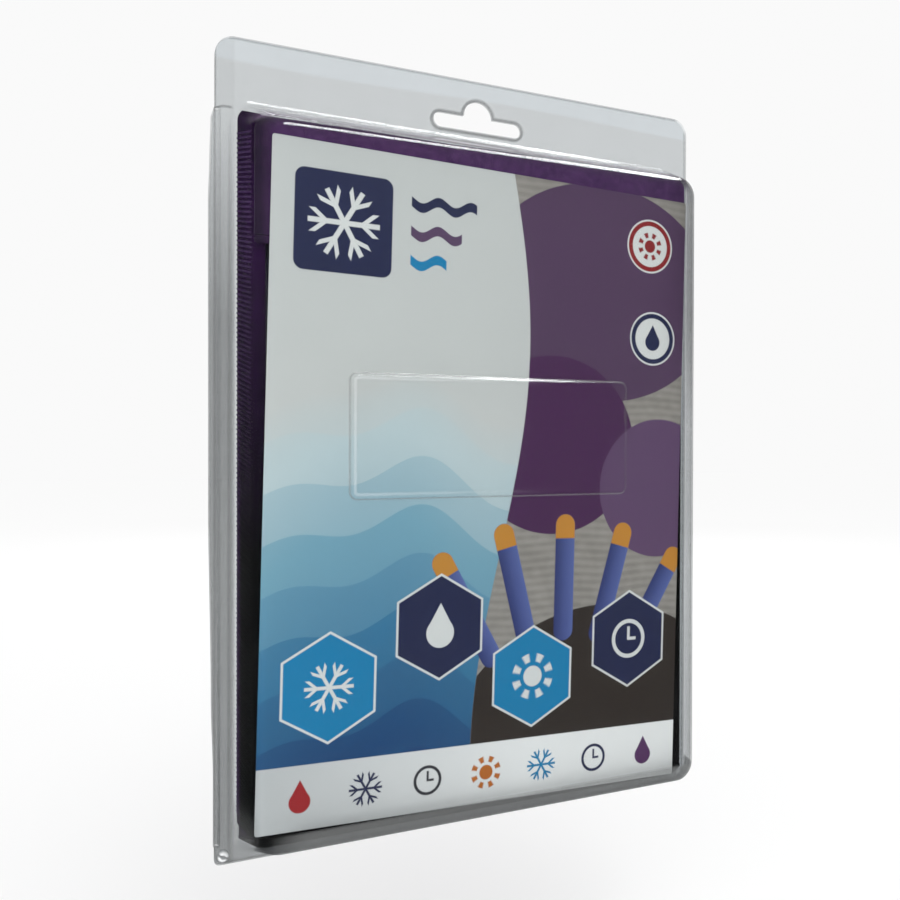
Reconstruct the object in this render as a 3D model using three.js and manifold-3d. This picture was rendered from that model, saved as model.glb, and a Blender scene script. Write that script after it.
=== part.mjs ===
// Insulin cooling wallet in its clear clamshell hang pack, in millimetres.
// The origin is the middle of the hang slot, on the plane where the two shells part.
// +Z is up, and the face of the pack looks along -Y.

import * as THREE from 'three';
import { mergeVertices } from 'three/addons/utils/BufferGeometryUtils.js';
import Module from 'manifold-3d';

const wasm = await Module();
wasm.setup();

// Thermoformed sheet and the gaps between pieces
const sheet = 0.5;
const partingGap = 0.3;
const seatGap = 0.3;
const overrun = 2;
const weldDistance = 0.0001;
const curveSegments = 6;
const filletSteps = 3;
const edgeSteps = 5;

// Flange and header, shared by both shells
const flangeMargin = 5.9;
const headerRise = 14.2;
const footMargin = 3;
const headerCorner = 6;
const footCorner = 1.6;

// Hang slot
const slotWidth = 32;
const slotHeight = 5;
const humpWidth = 10.4;
const humpRise = 7.7;

// Tray of the front shell
const slotToTray = 5.4;
const trayWidth = 158.2;
const trayHeight = 223.4;
const trayDepth = 19.8;
const trayCorner = 8;
const faceCorner = 6.5;
const sideFlare = 5;
const topFlare = 9.7;
const footFlare = 6.2;
const faceEdgeRound = 3;
const faceSideRound = 4.8;
const trayFillet = 1.6;

// Raised frame on the face
const plaqueWidth = 95;
const plaqueHeight = 37.4;
const plaqueRaise = 14.5;
const plaqueShift = 2.1;
const plaqueCorner = 2.2;
const plaqueRidgeWidth = 3;
const plaqueRidgeHeight = 1.1;
const plaqueFieldHeight = 0.55;
const plaqueSlope = 0.5;

// Rear shell panel
const rearPanelDepth = 2;
const rearPanelSideMargin = 2;
const rearPanelEndMargin = 0.9;
const rearPanelFlare = 1.2;
const rearPanelRound = 0.9;
const rearPanelFillet = 0.4;

// Press studs in the foot corners
const studRadius = 1.9;
const studHeight = 1.6;
const studInset = 2.5;

// Living hinge down the left side
const hingeRadius = 1.6;
const hingeTopInset = 2.2;
const hingeFootInset = 2.7;

// Printed insert card
const cardThickness = 0.4;
const cardCorner = 0.8;
const cardTiltDegrees = 1.4;
const cardSideClearance = 0.25;
const cardTopClearance = 5.4;
const cardFootClearance = 1.4;

// Cooling wallet
const coverCloth = 0.8;
const pouchCloth = 0.5;
const walletSideClearance = 0.6;
const walletTopClearance = 0.9;
const walletFootClearance = 0.9;
const bindingLeg = 4;
const bindingRound = 2.4;
const foldRound = 3.6;
const foldHeight = 11;
const flapLength = 34;
const flapEdgeHeight = 2.2;
const flapInset = 0.5;
const fastenerThickness = 0.45;
const fastenerHeight = 20;
const fastenerSideMargin = 16.4;
const fastenerFromEdge = 4;
const pouchSideMargin = 6;
const pouchFootMargin = 6;
const pouchTopMargin = 3;
const channelCount = 4;
const channelSwell = 1.6;
const channelSeam = 5;
const fillEndMargin = 6;
const channelSteps = 10;

// Places worked out from the sizes above
const flangeWidth = trayWidth + 2 * flangeMargin;
const frontPlane = -(partingGap / 2 + sheet);
const rearPlane = partingGap / 2 + sheet;
const facePlane = frontPlane - trayDepth;
const trayTop = -slotToTray;
const trayFoot = trayTop - trayHeight;
const flangeFoot = trayFoot - footMargin;
const rearInnerPlane = partingGap / 2 + rearPanelDepth;
const faceCentre = (trayTop - topFlare + trayFoot + footFlare) / 2;
const hingeX = -(flangeWidth / 2 + partingGap);
const hingeTop = trayTop - hingeTopInset;
const hingeFoot = trayFoot + hingeFootInset;

function solidOf(geometry) {
  const bare = geometry.clone();
  bare.deleteAttribute('normal');
  bare.deleteAttribute('uv');
  const merged = mergeVertices(bare, weldDistance);
  const vertProperties = new Float32Array(merged.attributes.position.array);
  const triVerts = new Uint32Array(merged.index.array);
  return new wasm.Manifold(new wasm.Mesh({ numProp: 3, vertProperties, triVerts }));
}

function geometryOf(solid) {
  const mesh = solid.getMesh();
  const geometry = new THREE.BufferGeometry();
  geometry.setAttribute('position', new THREE.BufferAttribute(mesh.vertProperties, 3));
  geometry.setIndex(new THREE.BufferAttribute(mesh.triVerts, 1));
  geometry.computeVertexNormals();
  return geometry;
}

// A closed outline with rounded corners in X and Z
function roundedOutline(halfWidth, top, foot, topRadius, footRadius) {
  const shape = new THREE.Shape();
  shape.moveTo(-halfWidth + footRadius, foot);
  shape.lineTo(halfWidth - footRadius, foot);
  shape.absarc(halfWidth - footRadius, foot + footRadius, footRadius, -Math.PI / 2, 0);
  shape.lineTo(halfWidth, top - topRadius);
  shape.absarc(halfWidth - topRadius, top - topRadius, topRadius, 0, Math.PI / 2);
  shape.lineTo(-halfWidth + topRadius, top);
  shape.absarc(-halfWidth + topRadius, top - topRadius, topRadius, Math.PI / 2, Math.PI);
  shape.lineTo(-halfWidth, foot + footRadius);
  shape.absarc(-halfWidth + footRadius, foot + footRadius, footRadius, Math.PI, 1.5 * Math.PI);
  return shape;
}

// A flat plate whose outline lies in X and Z, from yRear forwards by its thickness
function plate(shape, yRear, thickness) {
  const geometry = new THREE.ExtrudeGeometry(shape, {
    depth: thickness,
    bevelEnabled: false,
    curveSegments,
  });
  geometry.rotateX(Math.PI / 2);
  geometry.translate(0, yRear, 0);
  return geometry;
}

// An outline in X and Y, drawn out along Z between two heights
function upright(shape, foot, top) {
  const geometry = new THREE.ExtrudeGeometry(shape, {
    depth: top - foot,
    bevelEnabled: false,
    curveSegments,
  });
  geometry.translate(0, 0, foot);
  return geometry;
}

// Lays an upright form across the pack: its X becomes Z, and its length runs along X
function acrossPack(geometry) {
  geometry.applyMatrix4(new THREE.Matrix4().makeBasis(
    new THREE.Vector3(0, 0, 1),
    new THREE.Vector3(0, 1, 0),
    new THREE.Vector3(-1, 0, 0),
  ));
  return geometry;
}

// One level of a formed tray: a rounded rectangle at height y
function ringAt(halfWidth, top, foot, radius, y) {
  const corners = [
    [halfWidth - radius, foot + radius, -Math.PI / 2],
    [halfWidth - radius, top - radius, 0],
    [-halfWidth + radius, top - radius, Math.PI / 2],
    [-halfWidth + radius, foot + radius, Math.PI],
  ];
  const points = [];
  for (const [x, z, start] of corners) {
    for (let step = 0; step <= curveSegments; step += 1) {
      const angle = start + (step / curveSegments) * (Math.PI / 2);
      points.push(new THREE.Vector3(x + radius * Math.cos(angle), y, z + radius * Math.sin(angle)));
    }
  }
  return points;
}

// A closed body through a stack of rings that all have the same count of points
function loft(rings) {
  const forwards = rings[rings.length - 1][0].y < rings[0][0].y;
  const levels = forwards ? rings : [...rings].reverse();
  const around = levels[0].length;
  const positions = [];
  for (const ring of levels) {
    for (const point of ring) {
      positions.push(point.x, point.y, point.z);
    }
  }
  const capCentre = (ring) => {
    const sum = ring.reduce((total, point) => total.add(point), new THREE.Vector3());
    sum.divideScalar(ring.length);
    positions.push(sum.x, sum.y, sum.z);
    return positions.length / 3 - 1;
  };
  const rearCentre = capCentre(levels[0]);
  const frontCentre = capCentre(levels[levels.length - 1]);
  const index = [];
  for (let level = 0; level < levels.length - 1; level += 1) {
    for (let i = 0; i < around; i += 1) {
      const next = (i + 1) % around;
      const a = level * around + i;
      const b = level * around + next;
      index.push(a, b, b + around, a, b + around, a + around);
    }
  }
  const last = (levels.length - 1) * around;
  for (let i = 0; i < around; i += 1) {
    const next = (i + 1) % around;
    index.push(rearCentre, next, i);
    index.push(frontCentre, last + i, last + next);
  }
  const geometry = new THREE.BufferGeometry();
  geometry.setAttribute('position', new THREE.Float32BufferAttribute(positions, 3));
  geometry.setIndex(index);
  return geometry;
}

// Profile of a formed wall, from the flange up to the flat it ends in. Each point holds
// the share of the flare used, a plain inset, and the rise above the flange.
function wallProfile(depth, fillet, edgeRound, offset) {
  const reach = depth - offset;
  const filletShare = fillet / depth;
  const edgeShare = (reach - edgeRound) / depth;
  const foot = new THREE.QuadraticBezierCurve3(
    new THREE.Vector3(0, offset - fillet, -offset),
    new THREE.Vector3(0, offset, -offset),
    new THREE.Vector3(filletShare, offset, fillet),
  );
  const edge = new THREE.QuadraticBezierCurve3(
    new THREE.Vector3(edgeShare, offset, reach - edgeRound),
    new THREE.Vector3(reach / depth, offset, reach),
    new THREE.Vector3(reach / depth, offset + edgeRound, reach),
  );
  const start = new THREE.Vector3(0, offset - fillet, offset > 0 ? -overrun : -sheet / 2);
  return [start, ...foot.getPoints(filletSteps), ...edge.getPoints(edgeSteps)];
}

// A formed tray body whose wall leans in by its flares as it rises from the flange. Its
// side edges are rounded by their own reach in X.
function trayBody(tray, offset) {
  const profile = wallProfile(tray.depth, tray.fillet, tray.edgeRound, offset);
  const rings = profile.map(({ x: share, y: inset, z: rise }) => {
    const radius = THREE.MathUtils.lerp(tray.baseCorner, tray.faceCorner, share) - inset;
    const edgeInset = Math.max(inset - offset, 0);
    const sideInset = inset + edgeInset * (tray.sideRound / tray.edgeRound - 1);
    return ringAt(
      tray.halfWidth - share * tray.sideFlare - sideInset,
      tray.top - share * tray.topFlare - inset,
      tray.foot + share * tray.footFlare + inset,
      radius,
      tray.plane + tray.direction * rise,
    );
  });
  return solidOf(loft(rings));
}

const frontTray = {
  halfWidth: trayWidth / 2,
  top: trayTop,
  foot: trayFoot,
  depth: trayDepth,
  baseCorner: trayCorner,
  faceCorner,
  sideFlare,
  topFlare,
  footFlare,
  edgeRound: faceEdgeRound,
  sideRound: faceSideRound,
  fillet: trayFillet,
  plane: frontPlane,
  direction: -1,
};

const rearTray = {
  halfWidth: trayWidth / 2 + rearPanelSideMargin,
  top: trayTop + rearPanelEndMargin,
  foot: trayFoot - rearPanelEndMargin,
  depth: rearPanelDepth,
  baseCorner: trayCorner,
  faceCorner: trayCorner,
  sideFlare: rearPanelFlare,
  topFlare: rearPanelFlare,
  footFlare: rearPanelFlare,
  edgeRound: rearPanelRound,
  sideRound: rearPanelRound,
  fillet: rearPanelFillet,
  plane: rearPlane,
  direction: 1,
};

// Half the clear width, top or foot inside the tray wall at a given Y
function insideTray(y) {
  const share = (frontPlane - y) / trayDepth;
  return {
    half: trayWidth / 2 - share * sideFlare - sheet,
    top: trayTop - share * topFlare - sheet,
    foot: trayFoot + share * footFlare + sheet,
  };
}

function hangSlot() {
  const end = slotHeight / 2;
  const armX = slotWidth / 2 - end;
  const hump = humpWidth / 2;
  const slot = new THREE.Path();
  slot.moveTo(-armX, -end);
  slot.lineTo(armX, -end);
  slot.absarc(armX, 0, end, -Math.PI / 2, Math.PI / 2);
  slot.lineTo(hump, end);
  slot.absarc(0, humpRise - hump, hump, 0, Math.PI);
  slot.lineTo(-hump, end);
  slot.lineTo(-armX, end);
  slot.absarc(-armX, 0, end, Math.PI / 2, 1.5 * Math.PI);
  return slot;
}

// A flange and its header, cut back on the left where the living hinge runs into it
function flangePlate(yRear) {
  const shape = roundedOutline(flangeWidth / 2, headerRise, flangeFoot, headerCorner, footCorner);
  shape.holes.push(hangSlot());
  const edge = hingeX + hingeRadius + seatGap;
  const left = edge - flangeWidth;
  const foot = hingeFoot - seatGap;
  const top = hingeTop + seatGap;
  const cut = new THREE.BoxGeometry(edge - left, sheet + 2 * overrun, top - foot);
  cut.translate((left + edge) / 2, yRear - sheet / 2, (top + foot) / 2);
  return solidOf(plate(shape, yRear, sheet)).subtract(solidOf(cut));
}

// A raised frame with a lower field inside it, a little left of the middle of the face.
// The offset draws its inner skin.
function plaqueBody(offset) {
  const halfWidth = plaqueWidth / 2 - offset;
  const halfHeight = plaqueHeight / 2 - offset;
  const middle = faceCentre + plaqueRaise;
  const innerHalf = plaqueWidth / 2 - plaqueRidgeWidth + offset;
  const innerHigh = plaqueHeight / 2 - plaqueRidgeWidth + offset;
  const level = (half, high, inset, y) =>
    ringAt(half - inset, middle + high - inset, middle - high + inset, plaqueCorner, y);
  const top = facePlane - plaqueRidgeHeight + offset;
  const field = facePlane - plaqueFieldHeight + offset;
  const root = facePlane + sheet / 2 + offset;
  const stand = (rings) => solidOf(loft(rings).translate(-plaqueShift, 0, 0));
  const block = stand([
    level(halfWidth, halfHeight, 0, root),
    level(halfWidth, halfHeight, 0, facePlane + offset),
    level(halfWidth, halfHeight, plaqueSlope, top),
  ]);
  const pocket = stand([
    level(innerHalf, innerHigh, plaqueSlope, field),
    level(innerHalf, innerHigh, 0, top),
    level(innerHalf, innerHigh, 0, top - overrun),
  ]);
  return block.subtract(pocket);
}

// A domed press stud centred on the parting plane
function studDome(side, radius, height) {
  const dome = new THREE.SphereGeometry(radius, 16, 12);
  dome.scale(1, height / radius, 1);
  dome.translate(side * (flangeWidth / 2 - studInset), 0, flangeFoot + studInset);
  return solidOf(dome);
}

// Everything behind a plane, wide enough to trim a stud
function behindPlane(y) {
  const reach = studRadius * 4;
  const block = new THREE.BoxGeometry(flangeWidth + reach, reach, reach);
  block.translate(0, y + reach / 2, flangeFoot + studInset);
  return solidOf(block);
}

function frontShell() {
  let shell = flangePlate(-partingGap / 2).add(trayBody(frontTray, 0)).add(plaqueBody(0));
  shell = shell.subtract(trayBody(frontTray, sheet)).subtract(plaqueBody(sheet));
  for (const side of [-1, 1]) {
    const outer = studDome(side, studRadius, studHeight).subtract(behindPlane(frontPlane + sheet / 2));
    shell = shell.add(outer).subtract(studDome(side, studRadius - sheet, studHeight - sheet));
  }
  return geometryOf(shell);
}

function rearShell() {
  let shell = flangePlate(rearPlane).add(trayBody(rearTray, 0)).subtract(trayBody(rearTray, sheet));
  const nubRadius = studRadius - sheet - partingGap;
  const nubHeight = studHeight - sheet - partingGap;
  for (const side of [-1, 1]) {
    const nub = studDome(side, nubRadius, nubHeight).subtract(behindPlane(rearPlane - sheet / 2));
    shell = shell.add(nub);
  }
  return geometryOf(shell);
}

// The fold of sheet that joins the two flanges: a round bead whose two lips run into them
function livingHinge() {
  const inner = hingeRadius - sheet;
  const outerAngle = Math.asin(rearPlane / hingeRadius);
  const innerAngle = Math.asin(partingGap / 2 / inner);
  const lipEnd = hingeX + hingeRadius;
  const section = new THREE.Shape();
  section.moveTo(lipEnd, rearPlane);
  section.absarc(hingeX, 0, hingeRadius, outerAngle, 2 * Math.PI - outerAngle);
  section.lineTo(lipEnd, frontPlane);
  section.lineTo(lipEnd, -partingGap / 2);
  section.absarc(hingeX, 0, inner, 2 * Math.PI - innerAngle, innerAngle, true);
  section.lineTo(lipEnd, partingGap / 2);
  return upright(section, hingeFoot, hingeTop);
}

// Layers of the wallet from the rear shell forwards, each set one gap off the last
const swell = channelSwell + seatGap / 2 + pouchCloth;
const coverBackRear = rearInnerPlane - seatGap;
const coverBackFront = coverBackRear - coverCloth;
const pouchBackPlane = coverBackFront - seatGap - swell;
const pouchFrontPlane = pouchBackPlane - swell - seatGap - swell;
const coverFrontRear = pouchFrontPlane - swell - seatGap;
const coverFrontFront = coverFrontRear - coverCloth;
const loopRear = coverFrontFront - seatGap;
const hookRear = loopRear - fastenerThickness - seatGap;
const flapRear = hookRear - fastenerThickness - seatGap;
const flapFront = flapRear - coverCloth;
const cardRear = flapFront - seatGap;

// The tilted card touches a box that lies one clearance inside the tray
const cardTilt = THREE.MathUtils.degToRad(cardTiltDegrees);
const cardRoom = insideTray(cardRear - cardThickness);
const cardRoomWidth = 2 * (cardRoom.half - cardSideClearance);
const cardRoomTop = cardRoom.top - cardTopClearance;
const cardRoomFoot = cardRoom.foot + cardFootClearance;
const cardRoomHeight = cardRoomTop - cardRoomFoot;
const tiltedShare = Math.cos(2 * cardTilt);
const cardWidth =
  (cardRoomWidth * Math.cos(cardTilt) - cardRoomHeight * Math.sin(cardTilt)) / tiltedShare;
const cardHeight =
  (cardRoomHeight * Math.cos(cardTilt) - cardRoomWidth * Math.sin(cardTilt)) / tiltedShare;

function insertCard() {
  const halfHeight = cardHeight / 2;
  const shape = roundedOutline(cardWidth / 2, halfHeight, -halfHeight, cardCorner, cardCorner);
  return plate(shape, 0, cardThickness);
}

// Where the wallet's sides, fold and foot lie, one clearance inside the tray
const sideFront = insideTray(coverFrontFront).half - walletSideClearance;
const sideRear = insideTray(frontPlane).half - walletSideClearance;
const foldFrontTop = insideTray(flapFront).top - walletTopClearance;
const foldRearTop = insideTray(frontPlane).top - walletTopClearance;
const footFront = insideTray(coverFrontFront).foot + walletFootClearance;
const footRear = insideTray(frontPlane).foot + walletFootClearance;
const mouth = foldFrontTop - foldHeight;
const panelHalf = sideFront - bindingLeg;
const panelFoot = footFront + bindingLeg;

// A band of cloth turned round an edge: three sides of a box with rounded corners.
// Each point is a pair in the plane of the section, front end first.
function turnedBand(frontEnd, frontCorner, rearCorner, rearEnd, round, cloth) {
  const inward = Math.sign(frontEnd[0] - frontCorner[0]);
  const shape = new THREE.Shape();
  const towards = (from, to, distance) => {
    const length = Math.hypot(to[0] - from[0], to[1] - from[1]);
    const share = distance / length;
    return [from[0] + (to[0] - from[0]) * share, from[1] + (to[1] - from[1]) * share];
  };
  const turnCorner = (corner, before, after, radius) => {
    shape.lineTo(...towards(corner, before, radius));
    shape.quadraticCurveTo(...corner, ...towards(corner, after, radius));
  };
  const innerFrontEnd = [frontEnd[0], frontEnd[1] + cloth];
  const innerFrontCorner = [frontCorner[0] + inward * cloth, frontCorner[1] + cloth];
  const innerRearCorner = [rearCorner[0] + inward * cloth, rearCorner[1] - cloth];
  const innerRearEnd = [rearEnd[0], rearEnd[1] - cloth];
  const innerRound = round - cloth;
  shape.moveTo(...frontEnd);
  turnCorner(frontCorner, frontEnd, rearCorner, round);
  turnCorner(rearCorner, frontCorner, rearEnd, round);
  shape.lineTo(...rearEnd);
  shape.lineTo(...innerRearEnd);
  turnCorner(innerRearCorner, innerRearEnd, innerFrontCorner, innerRound);
  turnCorner(innerFrontCorner, innerRearCorner, innerFrontEnd, innerRound);
  shape.lineTo(...innerFrontEnd);
  return shape;
}

// The room that the wallet fills, with corners rounded like the tray's
function walletRoom() {
  const ringInside = (yTray, y) => {
    const inside = insideTray(yTray);
    return ringAt(
      inside.half - walletSideClearance,
      inside.top - walletSideClearance,
      inside.foot + walletSideClearance,
      faceCorner,
      y,
    );
  };
  const front = flapFront - seatGap;
  const rear = coverBackRear + seatGap;
  return solidOf(loft([
    ringInside(frontPlane, rear),
    ringInside(frontPlane, frontPlane),
    ringInside(front, front),
  ]));
}

function sideBinding(side) {
  const section = turnedBand(
    [side * (panelHalf + seatGap), coverFrontFront],
    [side * sideFront, coverFrontFront],
    [side * sideRear, coverBackRear],
    [side * (panelHalf + seatGap), coverBackRear],
    bindingRound,
    coverCloth,
  );
  return upright(section, panelFoot + seatGap, mouth - seatGap);
}

// The foot binding is drawn in Z and Y, then stood across the pack
function footBinding() {
  const section = turnedBand(
    [panelFoot - seatGap, coverFrontFront],
    [footFront, coverFrontFront],
    [footRear, coverBackRear],
    [panelFoot - seatGap, coverBackRear],
    bindingRound,
    coverCloth,
  );
  const geometry = upright(section, -sideFront, sideFront);
  return geometryOf(solidOf(acrossPack(geometry)).intersect(walletRoom()));
}

function coverFront() {
  return plate(
    roundedOutline(panelHalf, mouth - seatGap, panelFoot, bindingRound, bindingRound),
    coverFrontRear,
    coverCloth,
  );
}

// The back panel runs up, over the mouth and down the front as the flap
function coverBackAndFlap() {
  const fold = turnedBand(
    [foldFrontTop - flapLength, flapFront],
    [foldFrontTop, flapFront],
    [foldRearTop, coverBackRear],
    [mouth, coverBackRear],
    foldRound,
    coverCloth,
  );
  const halfWidth = insideTray(flapFront).half - flapInset;
  const band = acrossPack(upright(fold, -halfWidth, halfWidth));
  const back = plate(
    roundedOutline(panelHalf, mouth + overrun, panelFoot, bindingRound, bindingRound),
    coverBackRear,
    coverCloth,
  );
  return geometryOf(solidOf(band).intersect(walletRoom()).add(solidOf(back)));
}

// Overlocked hem under the lower edge of the flap
function flapEdge() {
  const halfWidth = insideTray(flapFront).half - flapInset;
  const top = foldFrontTop - flapLength - seatGap;
  const shape = roundedOutline(halfWidth, top, top - flapEdgeHeight, cardCorner, cardCorner);
  return plate(shape, flapRear, coverCloth);
}

function fastenerStrip(yRear) {
  const foot = foldFrontTop - flapLength + fastenerFromEdge;
  const shape = roundedOutline(
    panelHalf - fastenerSideMargin,
    foot + fastenerHeight,
    foot,
    cardCorner,
    cardCorner,
  );
  return plate(shape, yRear, fastenerThickness);
}

// The inner pouch hangs between the cover panels, sewn into upright channels
const pouchHalf = panelHalf - pouchSideMargin;
const pouchFoot = panelFoot + pouchFootMargin;
const pouchTop = mouth + pouchTopMargin;
const channelPitch = (2 * pouchHalf - channelSeam) / channelCount;
const channelWidth = channelPitch - channelSeam;

// How far a layer swells off the sewn plane at a place across one channel
function channelRise(share) {
  return channelSwell * Math.sin(Math.PI * share);
}

function channelStart(channel) {
  return -pouchHalf + channelSeam + channel * channelPitch;
}

// Points of a quilted layer's mid line, from left to right
function quiltedLine() {
  const points = [[-pouchHalf, 0]];
  for (let channel = 0; channel < channelCount; channel += 1) {
    for (let step = 0; step <= channelSteps; step += 1) {
      const share = step / channelSteps;
      points.push([channelStart(channel) + share * channelWidth, channelRise(share)]);
    }
  }
  points.push([pouchHalf, 0]);
  return points;
}

function quiltedLayer(plane, direction) {
  const line = quiltedLine();
  const near = line.map(([x, rise]) => [x, plane + direction * (seatGap / 2 + rise)]);
  const far = line.map(([x, rise]) => [x, plane + direction * (seatGap / 2 + rise + pouchCloth)]);
  const outline = [...near, ...far.reverse()].map(([x, y]) => new THREE.Vector2(x, y));
  return upright(new THREE.Shape(outline), pouchFoot, pouchTop);
}

// Dry cooling crystals lying in one channel between its two layers
function channelFill(plane, channel) {
  const upper = [];
  const lower = [];
  for (let step = 1; step < channelSteps; step += 1) {
    const share = step / channelSteps;
    const x = channelStart(channel) + share * channelWidth;
    const rise = channelRise(share) - seatGap / 2;
    upper.push(new THREE.Vector2(x, plane + rise));
    lower.push(new THREE.Vector2(x, plane - rise));
  }
  const section = new THREE.Shape([...lower, ...upper.reverse()]);
  return upright(section, pouchFoot + fillEndMargin, pouchTop - fillEndMargin);
}

const group = new THREE.Group();

const clearSheet = { color: 0xdfe6e8, roughness: 0.08, metalness: 0 };
const purpleCloth = { color: 0x4a1f63, roughness: 0.85, metalness: 0 };
const darkCloth = { color: 0x1b1a33, roughness: 0.9, metalness: 0 };
const liningCloth = { color: 0x2a2a2e, roughness: 0.9, metalness: 0 };
const fastenerNylon = { color: 0x17171a, roughness: 0.8, metalness: 0 };
const crystals = { color: 0xe9ecec, roughness: 0.4, metalness: 0 };
const printedCard = { color: 0xcdcfcb, roughness: 0.45, metalness: 0 };

function addPiece(name, geometry, finish) {
  const mesh = new THREE.Mesh(geometry, new THREE.MeshStandardMaterial(finish));
  mesh.name = name;
  group.add(mesh);
  return mesh;
}

addPiece('front_shell', frontShell(), clearSheet);
addPiece('rear_shell', rearShell(), clearSheet);
addPiece('living_hinge', livingHinge(), clearSheet);

const card = addPiece('insert_card', insertCard(), printedCard);
card.position.set(0, cardRear, (cardRoomTop + cardRoomFoot) / 2);
card.rotation.y = cardTilt;

addPiece('cover_front', coverFront(), darkCloth);
addPiece('cover_back_and_flap', coverBackAndFlap(), purpleCloth);
addPiece('binding_left', sideBinding(-1), purpleCloth);
addPiece('binding_right', sideBinding(1), purpleCloth);
addPiece('binding_foot', footBinding(), purpleCloth);
addPiece('flap_edge', flapEdge(), purpleCloth);
addPiece('loop_strip', fastenerStrip(loopRear), fastenerNylon);
addPiece('hook_strip', fastenerStrip(hookRear), fastenerNylon);

for (const [place, plane] of [['front', pouchFrontPlane], ['back', pouchBackPlane]]) {
  addPiece(`pouch_${place}_outer_layer`, quiltedLayer(plane, place === 'front' ? -1 : 1), liningCloth);
  addPiece(`pouch_${place}_inner_layer`, quiltedLayer(plane, place === 'front' ? 1 : -1), liningCloth);
  for (let channel = 0; channel < channelCount; channel += 1) {
    addPiece(`crystal_fill_${place}_${channel + 1}`, channelFill(plane, channel), crystals);
  }
}

export default group;
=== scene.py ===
import bmesh
import bpy
import math
from mathutils import Matrix, Vector


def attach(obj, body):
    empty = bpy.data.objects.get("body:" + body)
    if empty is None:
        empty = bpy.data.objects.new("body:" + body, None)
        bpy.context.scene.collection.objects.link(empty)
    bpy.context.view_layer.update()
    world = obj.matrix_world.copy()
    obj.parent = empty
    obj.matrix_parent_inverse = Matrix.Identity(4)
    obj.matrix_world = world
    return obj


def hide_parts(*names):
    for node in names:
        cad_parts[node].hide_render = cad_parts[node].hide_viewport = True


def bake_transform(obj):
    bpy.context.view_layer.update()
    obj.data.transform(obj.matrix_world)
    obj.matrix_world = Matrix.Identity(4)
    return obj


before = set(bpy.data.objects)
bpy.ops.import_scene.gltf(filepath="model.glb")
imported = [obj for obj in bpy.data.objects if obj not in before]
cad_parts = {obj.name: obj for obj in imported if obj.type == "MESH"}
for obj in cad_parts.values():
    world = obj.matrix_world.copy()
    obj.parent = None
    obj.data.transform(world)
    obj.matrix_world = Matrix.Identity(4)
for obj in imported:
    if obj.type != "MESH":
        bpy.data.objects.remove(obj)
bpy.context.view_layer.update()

# Inner pouch. A front and a back panel hang in the wallet, each of two layers of black
# woven cotton, quilted into four upright channels by lines of lock stitch.
MM = 0.001


class Term:
    """A socket that arithmetic can be done on. Each step adds one Math node."""

    def __init__(self, nodes, socket):
        self.nodes = nodes
        self.socket = socket

    def step(operation, swapped=False):
        def method(self, other):
            values = (other, self) if swapped else (self, other)
            return self.nodes.maths(operation, *values)

        return method

    __add__, __radd__ = step("ADD"), step("ADD", swapped=True)
    __sub__, __rsub__ = step("SUBTRACT"), step("SUBTRACT", swapped=True)
    __mul__, __rmul__ = step("MULTIPLY"), step("MULTIPLY", swapped=True)
    __truediv__, __rtruediv__ = step("DIVIDE"), step("DIVIDE", swapped=True)
    __pow__ = step("POWER")

    def __neg__(self):
        return self.nodes.maths("MULTIPLY", self, -1)

    def __abs__(self):
        return self.nodes.maths("ABSOLUTE", self)


class Nodes:
    """A node tree of a material or of Geometry Nodes, and the ways to add to it."""

    def __init__(self, tree):
        self.tree = tree
        tree.nodes.clear()

    def node(self, kind, settings=None, sockets=None, out=0):
        node = self.tree.nodes.new(kind)
        for key, value in (settings or {}).items():
            if key == "stops":
                ramp = node.color_ramp.elements
                while len(ramp) < len(value):
                    ramp.new(1)
                for stop, (place, colour) in zip(ramp, value):
                    stop.position = place
                    stop.color = (*colour, 1)
            else:
                setattr(node, key, value)
        for key, value in (sockets or {}).items():
            if isinstance(value, Term):
                self.tree.links.new(value.socket, node.inputs[key])
            elif value is not None:
                node.inputs[key].default_value = value
        return Term(self, node.outputs[out]) if len(node.outputs) else node

    def maths(self, operation, *values, clamp=False):
        settings = {"operation": operation, "use_clamp": clamp}
        return self.node("ShaderNodeMath", settings, dict(enumerate(values)))

    def clamped(self, value):
        return self.maths("ADD", value, 0, clamp=True)

    def low(self, a, b):
        return self.maths("MINIMUM", a, b)

    def high(self, a, b):
        return self.maths("MAXIMUM", a, b)

    def blend(self, factor, under, over):
        """A colour between two, each a Term or a plain triple."""
        sockets = {0: factor}
        for index, colour in ((6, under), (7, over)):
            sockets[index] = colour if isinstance(colour, Term) else (*colour, 1)
        return self.node("ShaderNodeMix", {"data_type": "RGBA"}, sockets, out=2)

    def place(self):
        return self.node("ShaderNodeTexCoord", out="Object")

    def axes(self, vector):
        split = self.tree.nodes.new("ShaderNodeSeparateXYZ")
        self.tree.links.new(vector.socket, split.inputs[0])
        return [Term(self, socket) for socket in split.outputs]

    def noise(self, vector, scale, detail=2):
        settings = {"noise_dimensions": "3D"}
        return self.node(
            "ShaderNodeTexNoise", settings, {"Vector": vector, "Scale": scale, "Detail": detail}
        )

    def bump(self, height, distance, strength=1.0):
        sockets = {"Height": height, "Distance": distance, "Strength": strength}
        return self.node("ShaderNodeBump", None, sockets)

    def surface(self, shader):
        self.node("ShaderNodeOutputMaterial", None, {"Surface": shader})


def material_nodes(name):
    material = bpy.data.materials.new(name)
    material.use_nodes = True
    return material, Nodes(material.node_tree)


def linear(red, green, blue):
    """A colour read as 0 to 255 on a screen, as the shaders take it."""
    return tuple((c / 255) ** 2.2 for c in (red, green, blue))


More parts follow.
